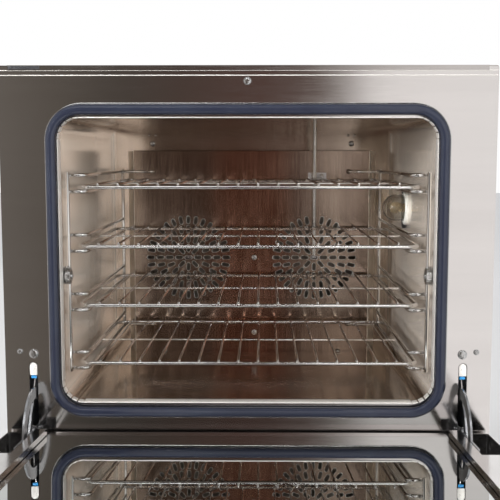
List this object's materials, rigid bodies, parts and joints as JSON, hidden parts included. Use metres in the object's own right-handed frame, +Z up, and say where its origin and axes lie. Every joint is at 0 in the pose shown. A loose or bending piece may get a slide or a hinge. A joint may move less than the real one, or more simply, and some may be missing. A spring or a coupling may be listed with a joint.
{
  "type": "convection oven",
  "caption": "Countertop convection oven with wire shelves on side racks, a twin-fan baffle, steam tube and lamp, and a drop-down glass door with bow handle.",
  "frame": {"origin": "on the counter under the middle of the whole object with its door let down, midway between the lowered door's edge and the spigots at the rear", "axes": "+X to the right of someone facing the oven, +Y from the door to the rear, +Z up"},
  "size_m": [0.6, 1.0631, 0.577],
  "materials": {
    "casing_steel": "satin",
    "cavity_steel": "bright rolled",
    "baffle_steel": "brushed upright",
    "door_steel": "satin",
    "handle_steel": "satin",
    "wire_chrome": "polished",
    "fixing_steel": "polished",
    "gasket_rubber": "silicone, satin",
    "insulation_wool": "mineral wool",
    "element_steel": "heat tinted",
    "motor_metal": "cast",
    "fan_steel": "pressed",
    "lamp_glass": "clear",
    "bulb_glass": "warm",
    "holder_ceramic": "white",
    "outer_glass": "smoked",
    "inner_glass": "reflective coating",
    "black_plastic": "fine grain",
    "button_plastic": "moulded",
    "pilot_plastic": "translucent",
    "valve_brass": "machined"
  },
  "bodies": {
    "oven": {"feet": "black_plastic", "base_plate": "casing_steel", "chassis_rails": "casing_steel", "outer_wrap": "casing_steel", "rear_cover": "casing_steel", "front_frame": "casing_steel", "cavity_liner": "cavity_steel", "insulation": "insulation_wool", "door_gasket": "gasket_rubber", "rear_baffle": "baffle_steel", "heating_elements": "element_steel", "motor_plate": "casing_steel", "fan_motor_left": "motor_metal", "fan_motor_right": "motor_metal", "side_rack_left": "wire_chrome", "side_rack_right": "wire_chrome", "rack_thumb_nuts": "fixing_steel", "rack_studs": "fixing_steel", "humidity_tube": "fixing_steel", "tube_clamp": "fixing_steel", "cavity_screws": "fixing_steel", "frame_screws": "fixing_steel", "lamp_holder": "holder_ceramic", "lamp_bulb": "bulb_glass", "lamp_glass": "lamp_glass", "lamp_ring": "fixing_steel", "control_panel": "casing_steel", "thermostat": "black_plastic", "timer_unit": "black_plastic", "pilot_lamps": "pilot_plastic", "button_barrels": "black_plastic", "terminal_block": "button_plastic", "cable_gland": "black_plastic", "water_valve": "valve_brass", "steam_outlet": "fixing_steel", "hinge_receiver_left": "casing_steel", "hinge_receiver_right": "casing_steel"},
    "door": {"door_shell": "door_steel", "door_outer_glass": "outer_glass", "door_inner_glass": "inner_glass", "glass_spacers": "black_plastic", "door_rail_left": "door_steel", "door_rail_right": "door_steel", "door_cross_rails": "door_steel", "hinge_arm_left": "door_steel", "hinge_arm_right": "door_steel", "door_handle": "handle_steel", "handle_rosettes": "door_steel"},
    "shelf_1": {"shelf_1": "wire_chrome"},
    "shelf_2": {"shelf_2": "wire_chrome"},
    "shelf_3": {"shelf_3": "wire_chrome"},
    "shelf_4": {"shelf_4": "wire_chrome"},
    "fan_left": {"fan_wheel_left": "fan_steel", "fan_shaft_left": "fan_steel"},
    "fan_right": {"fan_wheel_right": "fan_steel", "fan_shaft_right": "fan_steel"},
    "temperature_knob": {"temperature_knob": "black_plastic"},
    "timer_knob": {"timer_knob": "black_plastic"},
    "steam_button": {"steam_button": "button_plastic"},
    "light_button": {"light_button": "button_plastic"}
  },
  "joints": [
    {"name": "door_hinge", "type": "hinge", "parent": "oven", "child": "door", "pos_m": [0, -0.0854, 0.128], "axis": [1, 0, 0], "range_deg": [-86.6, 0]},
    {"name": "shelf_1_slide", "type": "slide", "parent": "oven", "child": "shelf_1", "axis": [0, -1, 0], "range_m": [0, 0.28]},
    {"name": "shelf_2_slide", "type": "slide", "parent": "oven", "child": "shelf_2", "axis": [0, -1, 0], "range_m": [0, 0.28]},
    {"name": "shelf_3_slide", "type": "slide", "parent": "oven", "child": "shelf_3", "axis": [0, -1, 0], "range_m": [0, 0.28]},
    {"name": "shelf_4_slide", "type": "slide", "parent": "oven", "child": "shelf_4", "axis": [0, -1, 0], "range_m": [0, 0.28]},
    {"name": "fan_left_spin", "type": "hinge", "parent": "oven", "child": "fan_left", "pos_m": [-0.1015, 0.3536, 0.307], "axis": [0, 1, 0], "continuous": true},
    {"name": "fan_right_spin", "type": "hinge", "parent": "oven", "child": "fan_right", "pos_m": [0.1015, 0.3536, 0.307], "axis": [0, 1, 0], "continuous": true},
    {"name": "temperature_turn", "type": "hinge", "parent": "oven", "child": "temperature_knob", "pos_m": [0.06, -0.0814, 0.07], "axis": [0, 1, 0], "range_deg": [0, 270]},
    {"name": "timer_turn", "type": "hinge", "parent": "oven", "child": "timer_knob", "pos_m": [-0.06, -0.0814, 0.07], "axis": [0, 1, 0], "range_deg": [0, 330]},
    {"name": "steam_button_press", "type": "slide", "parent": "oven", "child": "steam_button", "axis": [0, 1, 0], "range_m": [0, 0.003], "stiffness_N_per_m": 400},
    {"name": "light_button_press", "type": "slide", "parent": "oven", "child": "light_button", "axis": [0, 1, 0], "range_m": [0, 0.003], "stiffness_N_per_m": 400}
  ]
}
